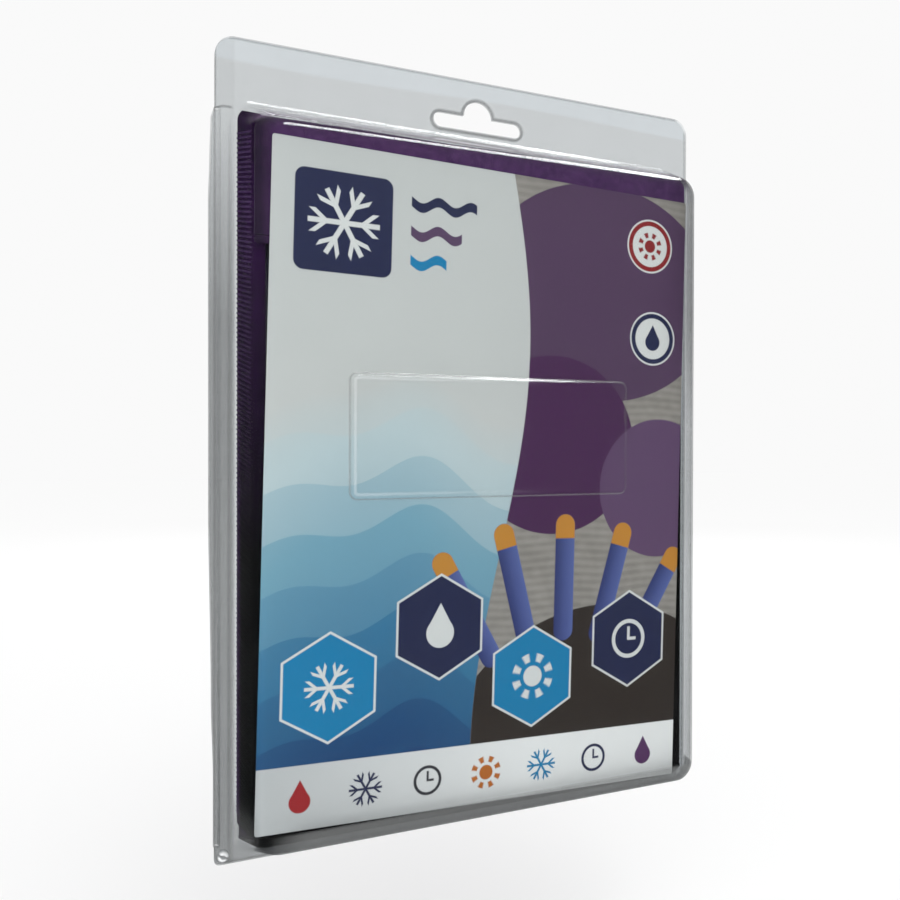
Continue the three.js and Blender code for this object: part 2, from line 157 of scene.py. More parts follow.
def cloth(name, shaded, lit, thread, sheen=0.25, relief=0.12, painted_foot_shade=False, gloss=0.25, shade=0.0):
    """Cloth of crossing threads, with painted shade in its weave and dye that varies softly.

    It may darken to black at the foot and near its left edge, both painted shade, but not on the
    wallet's back.
    """
    material, nodes = material_nodes(name)
    place = nodes.place()
    x, y, z = nodes.axes(place)
    turns = math.tau / (thread * MM)
    weft = nodes.maths("SINE", z * turns)
    warp = nodes.maths("SINE", (x + y) * turns)
    weave = weft * warp * 0.5 + 0.5
    fuzz = nodes.noise(place, 2200, 3)
    dye = nodes.noise(place, 90, 3)
    mottle = nodes.noise(place, 420, 2)
    tone = nodes.clamped(weave * 0.35 + fuzz * 0.5 + dye * 0.5 + mottle * 0.8 - 0.65)
    # between a shaded and a lit tone: painted shade in the weave, and dye that varies at random
    colour = nodes.blend(tone, shaded, lit)
    forward = nodes.clamped(y / -0.003)
    if painted_foot_shade:
        # painted shade: the cloth darkens to black towards the foot
        foot_shade_from, foot_shade_over = -0.04, 0.1
        deep = nodes.clamped((foot_shade_from - z) / foot_shade_over) * forward
        colour = nodes.blend(deep, colour, linear(6, 5, 10))
    if shade:
        # painted shade: the cloth darkens near its left edge
        shade_from, shade_over = -0.0685, 0.005
        deep = nodes.clamped((shade_from - x) / shade_over) * forward * shade
        colour = nodes.blend(deep, colour, linear(10, 8, 18))
    sockets = {
        "Base Color": colour,
        "Roughness": nodes.clamped(0.75 + fuzz * 0.3),
        "Sheen Weight": sheen,
        "Specular IOR Level": gloss,
        "Normal": nodes.bump(weave * 0.6 + fuzz * 0.4, relief * MM),
    }
    nodes.surface(nodes.node("ShaderNodeBsdfPrincipled", None, sockets))
    return material


def shown(name, data):
    """An object of the scene with this mesh, lamp or camera."""
    obj = bpy.data.objects.new(name, data)
    bpy.context.scene.collection.objects.link(obj)
    return obj


def piece(name, points, faces, material, crease=40):
    """An object whose points are given in millimetres."""
    mesh = bpy.data.meshes.new(name)
    mesh.from_pydata([[c * MM for c in point] for point in points], [], faces)
    mesh.polygons.foreach_set("use_smooth", [True] * len(mesh.polygons))
    mesh.set_sharp_from_angle(angle=math.radians(crease))
    mesh.materials.append(material)
    return shown(name, mesh)


def settle(obj):
    """Turns the object with its modifiers into a plain mesh."""
    depsgraph = bpy.context.evaluated_depsgraph_get()
    mesh = bpy.data.meshes.new_from_object(obj.evaluated_get(depsgraph), depsgraph=depsgraph)
    obj.modifiers.clear()
    obj.data = mesh


def thicken(obj, thickness, offset=0.0, even=False):
    solid = obj.modifiers.new("thickness", "SOLIDIFY")
    solid.thickness = thickness * MM
    solid.offset = offset
    solid.use_even_offset = even
    settle(obj)
    shell = bmesh.new()
    shell.from_mesh(obj.data)
    bmesh.ops.recalc_face_normals(shell, faces=shell.faces)
    shell.to_mesh(obj.data)
    shell.free()
    obj.data.set_sharp_from_angle(angle=math.radians(40))


def sheet_rows(name, rows, thickness, material):
    """A sheet through rows of points, with its thickness and cut edges."""
    wide = len(rows[0])
    faces = []
    for row in range(len(rows) - 1):
        for column in range(wide - 1):
            a = row * wide + column
            faces.append((a, a + 1, a + wide + 1, a + wide))
    obj = piece(name, [point for row in rows for point in row], faces, material)
    thicken(obj, thickness)
    return obj


def length_of(points):
    return sum((Vector(b) - Vector(a)).length for a, b in zip(points, points[1:]))


def geometry_tree(name, inputs):
    """A new Geometry Nodes tree with a mesh input and named number inputs."""
    tree = bpy.data.node_groups.new(name, "GeometryNodeTree")
    tree.interface.new_socket("Geometry", in_out="INPUT", socket_type="NodeSocketGeometry")
    for label, kind, value in inputs:
        kind = "NodeSocket" + kind
        socket = tree.interface.new_socket(label, in_out="INPUT", socket_type=kind)
        socket.default_value = value
    tree.interface.new_socket("Geometry", in_out="OUTPUT", socket_type="NodeSocketGeometry")
    nodes = Nodes(tree)
    given = tree.nodes.new("NodeGroupInput")
    return tree, nodes, {s.name: Term(nodes, s) for s in given.outputs if s.name}


def end_tree(nodes, geometry, material):
    plain = nodes.node("GeometryNodeRealizeInstances", None, {0: geometry})
    smooth = nodes.node("GeometryNodeSetShadeSmooth", None, {0: plain})
    finished = nodes.node(
        "GeometryNodeSetMaterial", None, {"Geometry": smooth, "Material": material}
    )
    nodes.node("NodeGroupOutput", None, {0: finished})


def grow(obj, tree, **values):
    """Runs a Geometry Nodes tree on an object, and keeps the result as a plain mesh."""
    modifier = obj.modifiers.new(tree.name, "NODES")
    modifier.node_group = tree
    for item in tree.interface.items_tree:
        label = item.name.lower().replace(" ", "_")
        if item.in_out == "INPUT" and label in values:
            modifier[item.identifier] = values[label]
    settle(obj)


lining_cloth = cloth("lining cotton", linear(20, 20, 23), linear(48, 48, 54), 0.7)
pouch_half, pouch_foot, pouch_top = 65.73, -214.58, -20.48
channel_seam, channel_width, channel_pitch, channel_swell = 5.0, 26.615, 31.615, 1.6
lining_thickness = 0.46
layer_planes, layer_gap = {"front": -6.3, "back": -1.5}, 0.15


def spread(start, end, steps):
    """Values in even steps, with both ends."""
    return [start + (end - start) * k / steps for k in range(steps + 1)]


def quilted_rows(plane, direction):
    """Points of a layer's middle, puckered a little beside each line of stitches."""
    flat_edge = pouch_half - channel_seam * 0.7
    line = [(-pouch_half, 0.0), (-flat_edge, 0.0)]
    for channel in range(4):
        start = -pouch_half + channel_seam + channel * channel_pitch
        for share in spread(0, 1, 12):
            line.append((start + share * channel_width, channel_swell * math.sin(math.pi * share)))
    line += [(flat_edge, 0.0), (pouch_half, 0.0)]
    rows = []
    for row, z in enumerate(spread(pouch_foot, pouch_top, 60)):
        pucker = 1 - 0.1 * (0.5 + 0.5 * math.sin(z * 0.9)) * (1 if row % 2 else 0.7)
        rest = plane + direction * (layer_gap + lining_thickness / 2)
        rows.append([(x, rest + direction * rise * pucker, z) for x, rise in line])
    return rows


for place, plane in layer_planes.items():
    front = -1 if place == "front" else 1
    for layer, direction in (("outer", front), ("inner", -front)):
        rows = quilted_rows(plane, direction)
        lining = sheet_rows(f"{place}_{layer}_lining", rows, lining_thickness, lining_cloth)
        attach(lining, "filled_tray")
        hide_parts(f"pouch_{place}_{layer}_layer")
        flat = (length_of(rows[0]) * MM, (pouch_top - pouch_foot) * MM)

# Lock stitches of the quilting. Black thread, sunk in upright lines between the channels
# of both panels.
stitch_tree, nodes, given = geometry_tree(
    "stitches along a line",
    [
        ("Pitch", "Float", 0.0025),
        ("Thread", "Float", 0.0002),
        ("Stitch", "Float", 0.0018),
    ],
)
thread_black = cloth("black thread", linear(18, 18, 20), linear(52, 52, 56), 0.3)


def tube(path, corners, radius, capped=True):
    """A round thread along a curve, in the tree that is being built."""
    ring = {"Resolution": corners, "Radius": radius}
    yarn = nodes.node("GeometryNodeCurvePrimitiveCircle", None, ring)
    along = {0: path, "Profile Curve": yarn, "Fill Caps": capped}
    return nodes.node("GeometryNodeCurveToMesh", None, along)


def triple(y=0.0, z=0.0):
    return nodes.node("ShaderNodeCombineXYZ", None, {"Y": y, "Z": z})


path = nodes.node("GeometryNodeMeshToCurve", None, {0: given["Geometry"]})
even = nodes.node(
    "GeometryNodeResampleCurve", {"mode": "LENGTH"}, {"Curve": path, "Length": given["Pitch"]}
)
sunk = given["Thread"] * -1.2
run = nodes.node("GeometryNodeCurvePrimitiveBezierSegment", None, {
    "Start": triple(z=given["Stitch"] * -0.5),
    "Start Handle": triple(y=sunk, z=given["Stitch"] * -0.3),
    "End Handle": triple(y=sunk, z=given["Stitch"] * 0.3),
    "End": triple(z=given["Stitch"] * 0.5),
    "Resolution": 5,
})
stitch = tube(run, 6, given["Thread"])
sewn = nodes.node("GeometryNodeInstanceOnPoints", None, {"Points": even, "Instance": stitch})
end_tree(nodes, sewn, thread_black)


def line_of(name, points, material):
    """Points joined by edges, for a Geometry Nodes tree to follow."""
    mesh = bpy.data.meshes.new(name)
    edges = [(i, i + 1) for i in range(len(points) - 1)]
    mesh.from_pydata([[c * MM for c in point] for point in points], edges, [])
    mesh.materials.append(material)
    return shown(name, mesh)


def join(name, parts):
    """One object of several plain meshes."""
    merged = bmesh.new()
    for part in parts:
        merged.from_mesh(part.data)
    materials = list(parts[0].data.materials)
    for part in parts:
        bpy.data.objects.remove(part)
    mesh = bpy.data.meshes.new(name)
    merged.to_mesh(mesh)
    merged.free()
    for material in materials:
        mesh.materials.append(material)
    return shown(name, mesh)


for place, plane in layer_planes.items():
    front = -1 if place == "front" else 1
    lines = []
    for seam in range(5):
        x = -pouch_half + channel_seam / 2 + seam * channel_pitch
        y = plane + front * (layer_gap + lining_thickness)
        ends = [(x, y, pouch_foot + 1), (x, y, pouch_top - 1)]
        lines.append(line_of(f"seam {seam}", ends, thread_black))
        grow(lines[-1], stitch_tree, pitch=0.0025)
    quilting = join(f"{place}_quilting", lines)
    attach(quilting, "filled_tray")

# Cooling crystals. Dry clear granules of a water-absorbing salt lie loose in each of the
# eight channels, and swell to a gel when the wallet is soaked.
crystal_grain, nodes = material_nodes("dry crystals")
place = nodes.place()
speck = nodes.noise(place, 900, 2)
nodes.surface(nodes.node("ShaderNodeBsdfPrincipled", None, {
    "Base Color": nodes.blend(nodes.clamped(speck), linear(205, 212, 214), linear(248, 250, 250)),
    "Roughness": nodes.clamped(speck * 0.4 + 0.1),
    "Normal": nodes.bump(speck, 0.0002),
}))

grain_tree, nodes, given = geometry_tree(
    "grains on a fill",
    [("Density", "Float", 160000.0), ("Grain", "Float", 0.0006)],
)
spots = nodes.node(
    "GeometryNodeDistributePointsOnFaces",
    {"distribute_method": "RANDOM"},
    {"Mesh": given["Geometry"], "Density": given["Density"], "Seed": 7},
)
ball = nodes.node("GeometryNodeMeshIcoSphere", None, {"Radius": given["Grain"], "Subdivisions": 1})
turn = nodes.node(
    "FunctionNodeRandomValue", {"data_type": "FLOAT_VECTOR"},
    {"Min": (0, 0, 0), "Max": (6.28, 6.28, 6.28), "Seed": 3},
)
growth = nodes.node(
    "FunctionNodeRandomValue", {"data_type": "FLOAT_VECTOR"},
    {"Min": (0.5, 0.5, 0.5), "Max": (1.0, 1.0, 1.0), "Seed": 5},
)
grains = nodes.node(
    "GeometryNodeInstanceOnPoints", None,
    {"Points": spots, "Instance": ball, "Rotation": turn, "Scale": growth},
)
heap = nodes.node("GeometryNodeJoinGeometry")
for part in (given["Geometry"], grains):
    nodes.tree.links.new(part.socket, heap.socket.node.inputs[0])
end_tree(nodes, heap, crystal_grain)


def loft_faces(count, around):
    """Faces between closed rings of points, with a cap at each end."""
    sides = [
        (low + k, low + (k + 1) % around, low + around + (k + 1) % around, low + around + k)
        for low in range(0, (count - 1) * around, around) for k in range(around)
    ]
    last = (count - 1) * around
    return sides + [tuple(range(around - 1, -1, -1)), tuple(range(last, last + around))]


fill_half, fill_lens, fill_steps, fill_around = 10.0, 0.95, 24, 20
for place, plane in layer_planes.items():
    for channel in range(4):
        middle = -pouch_half + channel_seam + channel * channel_pitch + channel_width / 2
        foot, top = pouch_foot + 7, pouch_top - 7
        rings = []
        for row, share in enumerate(spread(0, 1, fill_steps)):
            lean = math.sin(math.pi * min(max(share, 0.02), 0.98)) ** 0.35
            lumps = 1 + 0.12 * math.sin(row * 2.1 + channel) * math.sin(row * 0.7)
            half, thick = fill_half * lean, fill_lens * lean * lumps
            z = foot + (top - foot) * share
            rings.append([
                (middle + half * math.cos(a), plane + thick * math.sin(a), z)
                for a in spread(0, math.tau, fill_around)[:-1]
            ])
        faces = loft_faces(fill_steps + 1, fill_around)
        grain_fill = piece(f"{place}_grains_{channel + 1}", sum(rings, []), faces, crystal_grain)
        grow(grain_fill, grain_tree, grain=0.0004)
        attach(grain_fill, "filled_tray")
        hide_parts(f"crystal_fill_{place}_{channel + 1}")

# Wallet cover. Dark woven cloth at the front; at the back one purple cloth that runs up
# from the foot, round the fold over the mouth and down the front as the closed flap.
dark_weave = cloth("dark cover cloth", linear(12, 12, 20), linear(44, 42, 66), 0.55)
# the purple cloth darkens near its left edge, as painted shade
purple_weave = cloth(
    "purple cover cloth", linear(50, 18, 68), linear(104, 66, 118), 0.5, sheen=0.1, shade=0.75
)
cover_thickness = 0.76
panel_half, panel_foot, mouth = 71.73, -220.58, -23.48
flap_half, flap_foot, fold_top, fold_rear_top = 75.17, -46.48, -12.48, -6.8
flap_front, cover_rear, front_face = -12.25, 1.85, -9.65
panel_plane, panel_swell, swell_from, swell_over = -9.25, 1.55, -50, 9
cut_corner, fold_corner, fold_bend, far_below = 0.7, 4.5, 3.2, -400


def rounded_span(z, half, top, foot, radius):
    """Half the width of a sheet with rounded corners, at height z."""
    depth = max(0.0, z - (top - radius), (foot + radius) - z)
    return half - radius + math.sqrt(max(radius ** 2 - min(depth, radius) ** 2, 0.0))


def across(half, count=37):
    return [half * (2 * k / (count - 1) - 1) for k in range(count)]


rows = []
front_top = mouth - 0.3
for z in spread(panel_foot, front_top, 40):
    half = rounded_span(z, panel_half, front_top, panel_foot, cut_corner)
    full = min(max((swell_from - z) / swell_over, 0), 1)
    y = panel_plane - panel_swell * full * full * (3 - 2 * full)
    rows.append([
        (x, y + 0.06 * math.sin(x * 0.21 + z * 0.05) * math.sin(z * 0.13), z) for x in across(half)
    ])
front_panel = sheet_rows("front_panel", rows, cover_thickness, dark_weave)
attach(front_panel, "filled_tray")
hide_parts("cover_front")

inset = cover_thickness / 2 + 0.02


def eased(start, corner, end, steps):
    """A curve from start to end that is drawn towards a corner."""
    start, corner, end = Vector(start), Vector(corner), Vector(end)
    return [
        tuple(start.lerp(corner, t).lerp(corner.lerp(end, t), t)) for t in spread(0, 1, steps)
    ]


def turned(corner, before, after, radius, steps=8):
    """A corner of a line rounded between two neighbours."""
    corner, before, after = Vector(corner), Vector(before), Vector(after)
    start = corner + (before - corner).normalized() * radius
    end = corner + (after - corner).normalized() * radius
    return eased(start, corner, end, steps)


rear_y, fore_y = cover_rear - inset, flap_front + inset
corners = [
    (rear_y, panel_foot), (rear_y, fold_rear_top - inset),
    (fore_y, fold_top - inset), (fore_y, flap_foot),
]
panel_steps = 40
line = [(rear_y, z) for z in spread(panel_foot, mouth, panel_steps)]
line += [(rear_y, mouth + rise) for rise in (0.28, 4, 8)]
line += turned(corners[1], corners[0], corners[2], fold_bend)
line += turned(corners[2], corners[1], corners[3], fold_bend)
line += [(fore_y, z) for z in spread(fold_top - 5, flap_foot, 12)[1:]]
rows = []
for index, (y, z) in enumerate(line):
    if index <= panel_steps:
        half, sway = rounded_span(z, panel_half, 0, panel_foot, cut_corner), 0
    else:
        share = (rear_y - y) / (rear_y - fore_y)
        top = fold_rear_top - inset + share * (fold_top - fold_rear_top)
        half, sway = rounded_span(z, flap_half, top + 1.2, far_below, fold_corner), 0.12
    rows.append([
        (x, y + 0.05 * math.sin(x * 0.19) * math.sin(z * 0.23), z + sway * math.sin(x * 0.11))
        for x in across(half)
    ])
back_panel = sheet_rows("back_panel_and_flap", rows, cover_thickness, purple_weave)
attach(back_panel, "filled_tray")
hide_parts("cover_back_and_flap")

# Hook and loop strips. Woven black tape sewn on the front panel under the flap, with a
# pile of loops; the flap carries the tape of hooks that grips it.
tape_half, tape_foot, tape_top = 55.33, -42.48, -22.48
pile_tree, nodes, given = geometry_tree("pile on a tape", [("Reach", "Float", 0.0004)])
sites = nodes.node(
    "GeometryNodeMeshGrid", None,
    {
        "Size X": 2 * (tape_half - 1) * MM, "Size Y": (tape_top - tape_foot - 2) * MM,
        "Vertices X": 64, "Vertices Y": 12,
    },
)
laid = nodes.node(
    "GeometryNodeTransform", None, {"Geometry": sites, "Rotation": (math.pi / 2, 0, 0)}
)
wire = nodes.node(
    "GeometryNodeCurvePrimitiveCircle", None, {"Resolution": 8, "Radius": given["Reach"]}
)
loop = tube(wire, 4, given["Reach"] * 0.25, capped=False)
bend = nodes.node(
    "FunctionNodeRandomValue", {"data_type": "FLOAT_VECTOR"},
    {"Min": (-0.3, 0, -0.5), "Max": (0.3, 0, 0.5), "Seed": 11},
)
pile = nodes.node(
    "GeometryNodeInstanceOnPoints", None, {"Points": laid, "Instance": loop, "Rotation": bend}
)
tape_middle = triple(z=(tape_foot + tape_top) / 2 * MM)
raised = nodes.node(
    "GeometryNodeTransform", None, {"Geometry": pile, "Translation": tape_middle}
)
end_tree(nodes, raised, thread_black)
tape_cloth = cloth("black tape", linear(14, 14, 16), linear(40, 40, 44), 0.4)
for name, node, y, pile_y in (
    ("loop_tape", "loop_strip", -10.06, -10.28), ("hook_tape", "hook_strip", -11.04, -10.84),
):
    rows = []
    for z in spread(tape_foot, tape_top, 8):
        half = rounded_span(z, tape_half, tape_top, tape_foot, 0.8)
        rows.append([(x, y, z) for x in across(half, 25)])
    base = sheet_rows(name + "_base", rows, 0.2, tape_cloth)
    tufts = line_of(name + "_pile", [(0, 0, 0), (0, 0, 1)], thread_black)
    grow(tufts, pile_tree, reach=0.00018)
    for vertex in tufts.data.vertices:
        vertex.co.y += pile_y * MM
    tape = join(name, [base, tufts])
    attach(tape, "filled_tray")
    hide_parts(node)

# Edge bindings. A band of purple cloth is turned round each side of the wallet and round
# its foot, and overlocked in matching thread; a narrow hem closes the flap's edge.
side_front, side_rear, foot_front, foot_rear = 75.73, 78.5, -224.58, -226.94
binding_thickness, front_bend, rear_bend, sewn_gap = 0.76, 2.0, 0.9, 0.3
band_inset = binding_thickness / 2 + 0.02
binding_foot, sewn_top, free_foot, binding_top, fold_side = -220.6, -24.2, -23.4, -6.6, 75.45
fullness, full_from, full_over = 1.65, -2, 7
drop_from, drop_slope, band_wave, tray_gap, least_reach = -30, 0.42, 0.04, 0.5, 72.5
# the tray round the wallet, by its outside, and the clear sheet that it is formed from
sheet, parting, tray_half, tray_top, tray_depth = 0.5, 0.65, 79.1, -5.4, 19.8
tray_flares, tray_corner, face_corner = (5, 9.7, 6.2), 5, 6.5


def band_section(front, rear, end):
    """Points of a band's middle, as pairs of reach and depth, from front to rear."""
    a, b = front_face + band_inset, cover_rear - band_inset
    inner = [(end, a), (front - band_inset, a), (rear - band_inset, b), (end, b)]
    points = [inner[0]]
    for k, radius in ((1, front_bend), (2, rear_bend)):
        fitting = min(radius, 0.9 * abs(inner[k][0] - end))
        points += turned(inner[k], inner[k - 1], inner[k + 1], fitting, 6)
    return points + [inner[3]]


# the overlock thread darkens to black towards the foot, as painted shade
thread_purple = cloth(
    "purple overlock thread", linear(40, 16, 54), linear(104, 74, 124), 0.28,
    sheen=0.0, relief=0.05, painted_foot_shade=True, gloss=0.05,
)
rib_tree, nodes, given = geometry_tree(
    "overlock ribs",
    [
        ("Pitch", "Float", 0.00145),
        ("Thread", "Float", 0.0003),
        ("Count", "Int", 10),
        ("Along", "Vector", (0, 0, 1)),
    ],
)
bow = nodes.node("GeometryNodeMeshToCurve", None, {0: given["Geometry"]})
rib = tube(bow, 7, given["Thread"])
stride = nodes.node(
    "ShaderNodeVectorMath", {"operation": "SCALE"}, {0: given["Along"], "Scale": given["Pitch"]}
)
walk = nodes.node(
    "GeometryNodeMeshLine", {"mode": "OFFSET"}, {"Count": given["Count"], "Offset": stride}
)
ribs = nodes.node("GeometryNodeInstanceOnPoints", None, {"Points": walk, "Instance": rib})
end_tree(nodes, ribs, thread_purple)
# the binding cloth darkens to black towards the foot, as painted shade
edge_cloth = cloth(
    "purple binding cloth", linear(26, 8, 36), linear(62, 34, 76), 0.5,
    sheen=0.0, painted_foot_shade=True, gloss=0.03,
)


def fuller(y):
    """The filled wallet pushes the front of its bindings forward."""
    return y - fullness * min(max((full_from - y) / full_over, 0), 1)


def tray_limit(y, z):
    """Half the clear width inside the tray at a depth and height, round its top corners."""
    share = max(0.0, -parting - y) / tray_depth
    half = tray_half - sheet - share * tray_flares[0]
    top = tray_top - sheet - share * tray_flares[1]
    radius = tray_corner - sheet + share * (face_corner - tray_corner)
    above = min(max(z - (top - radius), 0), radius)
    return half - radius + math.sqrt(radius ** 2 - above ** 2)


sewn_side = panel_half + sewn_gap
levels = [(z, sewn_side) for z in spread(binding_foot, sewn_top, 70)]
levels += [(z, fold_side) for z in spread(free_foot, binding_top, 22)]
for side_name, side in (("left", -1), ("right", 1)):
    rows = []
    for z, end in levels:
        row = []
        for a, y in band_section(side_front, side_rear, end):
            y = fuller(y)
            # beside the fold the band's front drops, as the top of the tray does
            droop = drop_slope * max(0.0, z - drop_from) / (binding_top - drop_from)
            place_z = z + (y - cover_rear) * droop
            reach = min(a, max(tray_limit(y, place_z) - tray_gap, least_reach))
            row.append((side * reach, y + band_wave * math.sin(z * 0.3), place_z))
        rows.append(row)
    binding = sheet_rows(f"{side_name}_binding", rows, binding_thickness, edge_cloth)
    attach(binding, "filled_tray")
    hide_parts(f"binding_{side_name}")
    section = band_section(side_front, side_rear, sewn_side)
    wrap = length_of([(a, fuller(y), 0) for a, y in section])
    flat = (wrap * MM, (binding_top - binding_foot) * MM)
    reach = [(a + band_inset, y) for a, y in section if -9.4 < y < 0.9 and a > side_front - 0.6]
    reach = [(side * (a + 0.02), fuller(y), binding_foot + 0.8 + 0.3 * (y + 9)) for a, y in reach]
    overlock = line_of(f"{side_name}_binding_overlock", reach, thread_purple)
    grow(overlock, rib_tree, count=141, thread=0.0003)
    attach(overlock, "filled_tray")

foot_section = band_section(-foot_front, -foot_rear, sewn_gap - panel_foot)
foot_half, foot_lean, foot_half_flat = 77.6, 0.243, 76.6
rear_round, front_round, round_gap = 2.2, 5.2, 0.2
rear_middle = cover_rear - binding_thickness / 2
foot_depth = rear_middle - (front_face + binding_thickness / 2)
foot_reach = panel_foot - foot_rear - sewn_gap
rows = []
for x in across(1.0, 95):
    row = []
    for reach_down, y in foot_section:
        forward = rear_middle - y
        wide = foot_half - foot_lean * forward
        share = min(max(forward / foot_depth, 0), 1)
        round_ = rear_round + (front_round - rear_round) * share ** 2
        past = max(0.0, abs(x) * wide - wide + round_ - round_gap)
        corner = round_ - math.sqrt(round_ ** 2 - past ** 2)
        height = (reach_down + panel_foot) * (1 - corner / foot_reach)
        row.append((x * wide, fuller(y), panel_foot - height))
    rows.append(row)
foot_binding = sheet_rows("foot_binding", rows, binding_thickness, edge_cloth)
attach(foot_binding, "filled_tray")
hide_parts("binding_foot")
flat = (2 * foot_half_flat * MM, length_of([(0, fuller(y), z) for z, y in foot_section]) * MM)

hem_foot, hem_top, hem_front, hem_swell = -48.98, -46.78, -11.85, 0.15
rows = []
for z in spread(hem_foot, hem_top, 6):
    y = hem_front - hem_swell * math.sin(math.pi * (z - hem_foot) / (hem_top - hem_foot))
    half = rounded_span(z, flap_half, hem_top, hem_foot, 0.8)
    rows.append([(x, y, z) for x in across(half, 49)])
hem = sheet_rows("flap_hem", rows, 0.5, purple_weave)
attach(hem, "filled_tray")
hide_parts("flap_edge")

# Printed card. Coated white board of 0.4 mm, die cut with small rounded corners, printed on
# its face with a plain design of water, pebbles and small signs. It leans a little.
card_half, card_high, card_tilt = 72.795, 101.113, math.radians(1.4)
card_middle, card_front, card_rear = -120.187, -12.95, -12.55
card_print, nodes = material_nodes("printed board")
local = nodes.node("ShaderNodeMapping", {"vector_type": "TEXTURE"}, {
    "Vector": nodes.place(), "Location": (0, 0, card_middle * MM),
    "Rotation": (0, card_tilt, 0), "Scale": (MM, MM, MM),
})
x, _, z = nodes.axes(local)
board_white, ink_navy, ink_cyan = linear(228, 230, 227), linear(42, 48, 84), linear(4, 132, 184)


def root(value):
    return nodes.maths("SQRT", value)


def inside(distance, blur=0.3):
    return nodes.maths("SUBTRACT", 0.5, distance / blur, clamp=True)


def disc(a, b, radius):
    return root(a * a + b * b) - radius


def box(a, b, half_a, half_b, round_):
    da, db = abs(a) - (half_a - round_), abs(b) - (half_b - round_)
    out_a, out_b = nodes.high(da, 0), nodes.high(db, 0)
    return root(out_a * out_a + out_b * out_b) + nodes.low(nodes.high(da, db), 0) - round_


def hexagon(a, b, radius):
    across_a, across_b = abs(a), abs(b)
    return nodes.high(across_a * 0.866 + across_b * 0.5, across_b) - radius


def leaning(a, b, degrees):
    c, s = math.cos(math.radians(degrees)), math.sin(math.radians(degrees))
    return a * c + b * s, b * c - a * s


def wave(value, length, phase=0.0):
    return nodes.maths("SINE", value * (math.tau / length) + phase)


# water, from white down to deep blue in drifting bands
drift = z + wave(x, 96, 0.6) * 7 + wave(x, 41, 2.0) * 2.2
depth_share = nodes.clamped((26 - drift) / 112)
band = nodes.maths("FRACT", drift / 15 + wave(x, 60) * 0.16)
ground = nodes.node("ShaderNodeValToRGB", {"stops": [
    (0.0, linear(208, 211, 208)), (0.16, linear(196, 214, 217)), (0.42, linear(122, 172, 192)),
    (0.7, linear(58, 124, 164)), (1.0, linear(30, 74, 124)),
]}, {0: nodes.clamped(depth_share + (band - 0.5) * 0.09 * nodes.clamped(depth_share * 6))})
# linen ground at the right of a long curve
edge_x = x - 3 - wave(z, 260, 0.5) * 9
slub = (nodes.noise(local, 0.25, 4) - 0.5) * 0.7
linen_tone = nodes.clamped(0.5 + wave(z + wave(x, 35) * 0.4, 2.6) * 0.12 + slub)
linen = nodes.blend(linen_tone, linear(124, 119, 113), linear(176, 171, 163))
right_side = nodes.clamped(edge_x / 0.35)
ground = nodes.blend(right_side, ground, linen)
# brown slope in the lower right, and purple pebbles above it
slope = disc(x - 44, (z + 96) * 1.1, 62)
ground = nodes.blend(inside(slope) * right_side, ground, linear(60, 52, 47))
for px, pz, radius, squash, colour in (
    (40, 66, 46, 1.25, linear(92, 68, 98)),
    (22, 14, 31, 1.05, linear(82, 46, 88)),
    (64, 0, 24, 1.0, linear(104, 78, 112)),
):
    pebble = disc(x - px, (z - pz) * squash, radius)
    ground = nodes.blend(inside(pebble) * right_side, ground, colour)
# a fan of blue bars
for degrees in (-30, -15, 0, 15, 30):
    a, b = leaning(x - 27, z + 100, degrees)
    bar = box(a, b - 70, 3.6, 21, 3.6)
    blue = nodes.blend(nodes.clamped(0.5 + a / 7), linear(52, 62, 118), linear(92, 108, 172))
    ground = nodes.blend(inside(bar), ground, blue)
    ground = nodes.blend(inside(nodes.high(bar, 83 - b)), ground, linear(206, 140, 52))
# white foot strip, greyed towards the left by painted shade
strip = nodes.blend(nodes.clamped((x + 76) / 90), linear(194, 197, 197), linear(250, 251, 249))
ground = nodes.blend(inside(z + 82), ground, strip)


def flake(a, b, size):
    """A six-armed snow crystal."""
    angle = nodes.maths("ARCTAN2", b, a)
    sector = math.tau / 6
    fold = (nodes.maths("FRACT", angle / sector + 0.5) - 0.5) * sector
    reach = root(a * a + b * b)
    along, aside = reach * nodes.maths("COSINE", fold), abs(reach * nodes.maths("SINE", fold))
    arm = nodes.high(aside - size * 0.07, along - size)
    barb = nodes.high(abs(aside * 1.2 - (along - size * 0.5)) - size * 0.09, aside - size * 0.32)
    return nodes.low(arm, barb)


def drop(a, b, size):
    """A drop of water, point up."""
    body = disc(a, b + size * 0.25, size * 0.62)
    cone = nodes.high(abs(a) + (b - size) * 0.55, -(b + size * 0.1))
    return nodes.low(body, cone)


def sun(a, b, size):
    """A disc with eight short rays."""
    between = 0.75 - abs(nodes.maths("SINE", nodes.maths("ARCTAN2", b, a) * 4))
    rays = nodes.high(between, abs(disc(a, b, size * 0.82)) - size * 0.18)
    return nodes.low(disc(a, b, size * 0.45), rays)


def dial(a, b, size):
    """A clock face with two hands."""
    ring = abs(disc(a, b, size * 0.8)) - size * 0.09
    upright = box(a, b - size * 0.25, size * 0.07, size * 0.3, 0)
    level = box(a - size * 0.18, b, size * 0.22, size * 0.07, 0)
    return nodes.low(ring, nodes.low(upright, level))


# four six-sided tiles with a sign in each
for tx, tz, sign, colour in (
    (-52, -60, flake, ink_cyan), (-17, -44, drop, ink_navy),
    (16, -62, sun, ink_cyan), (53, -52, dial, ink_navy),
):
    a, b = x - tx, z - tz
    tile = hexagon(b, a, 14.5)
    ground = nodes.blend(inside(tile), ground, board_white)
    ground = nodes.blend(inside(tile + 0.7), ground, colour)
    ground = nodes.blend(inside(sign(a, b, 7.5)), ground, board_white)
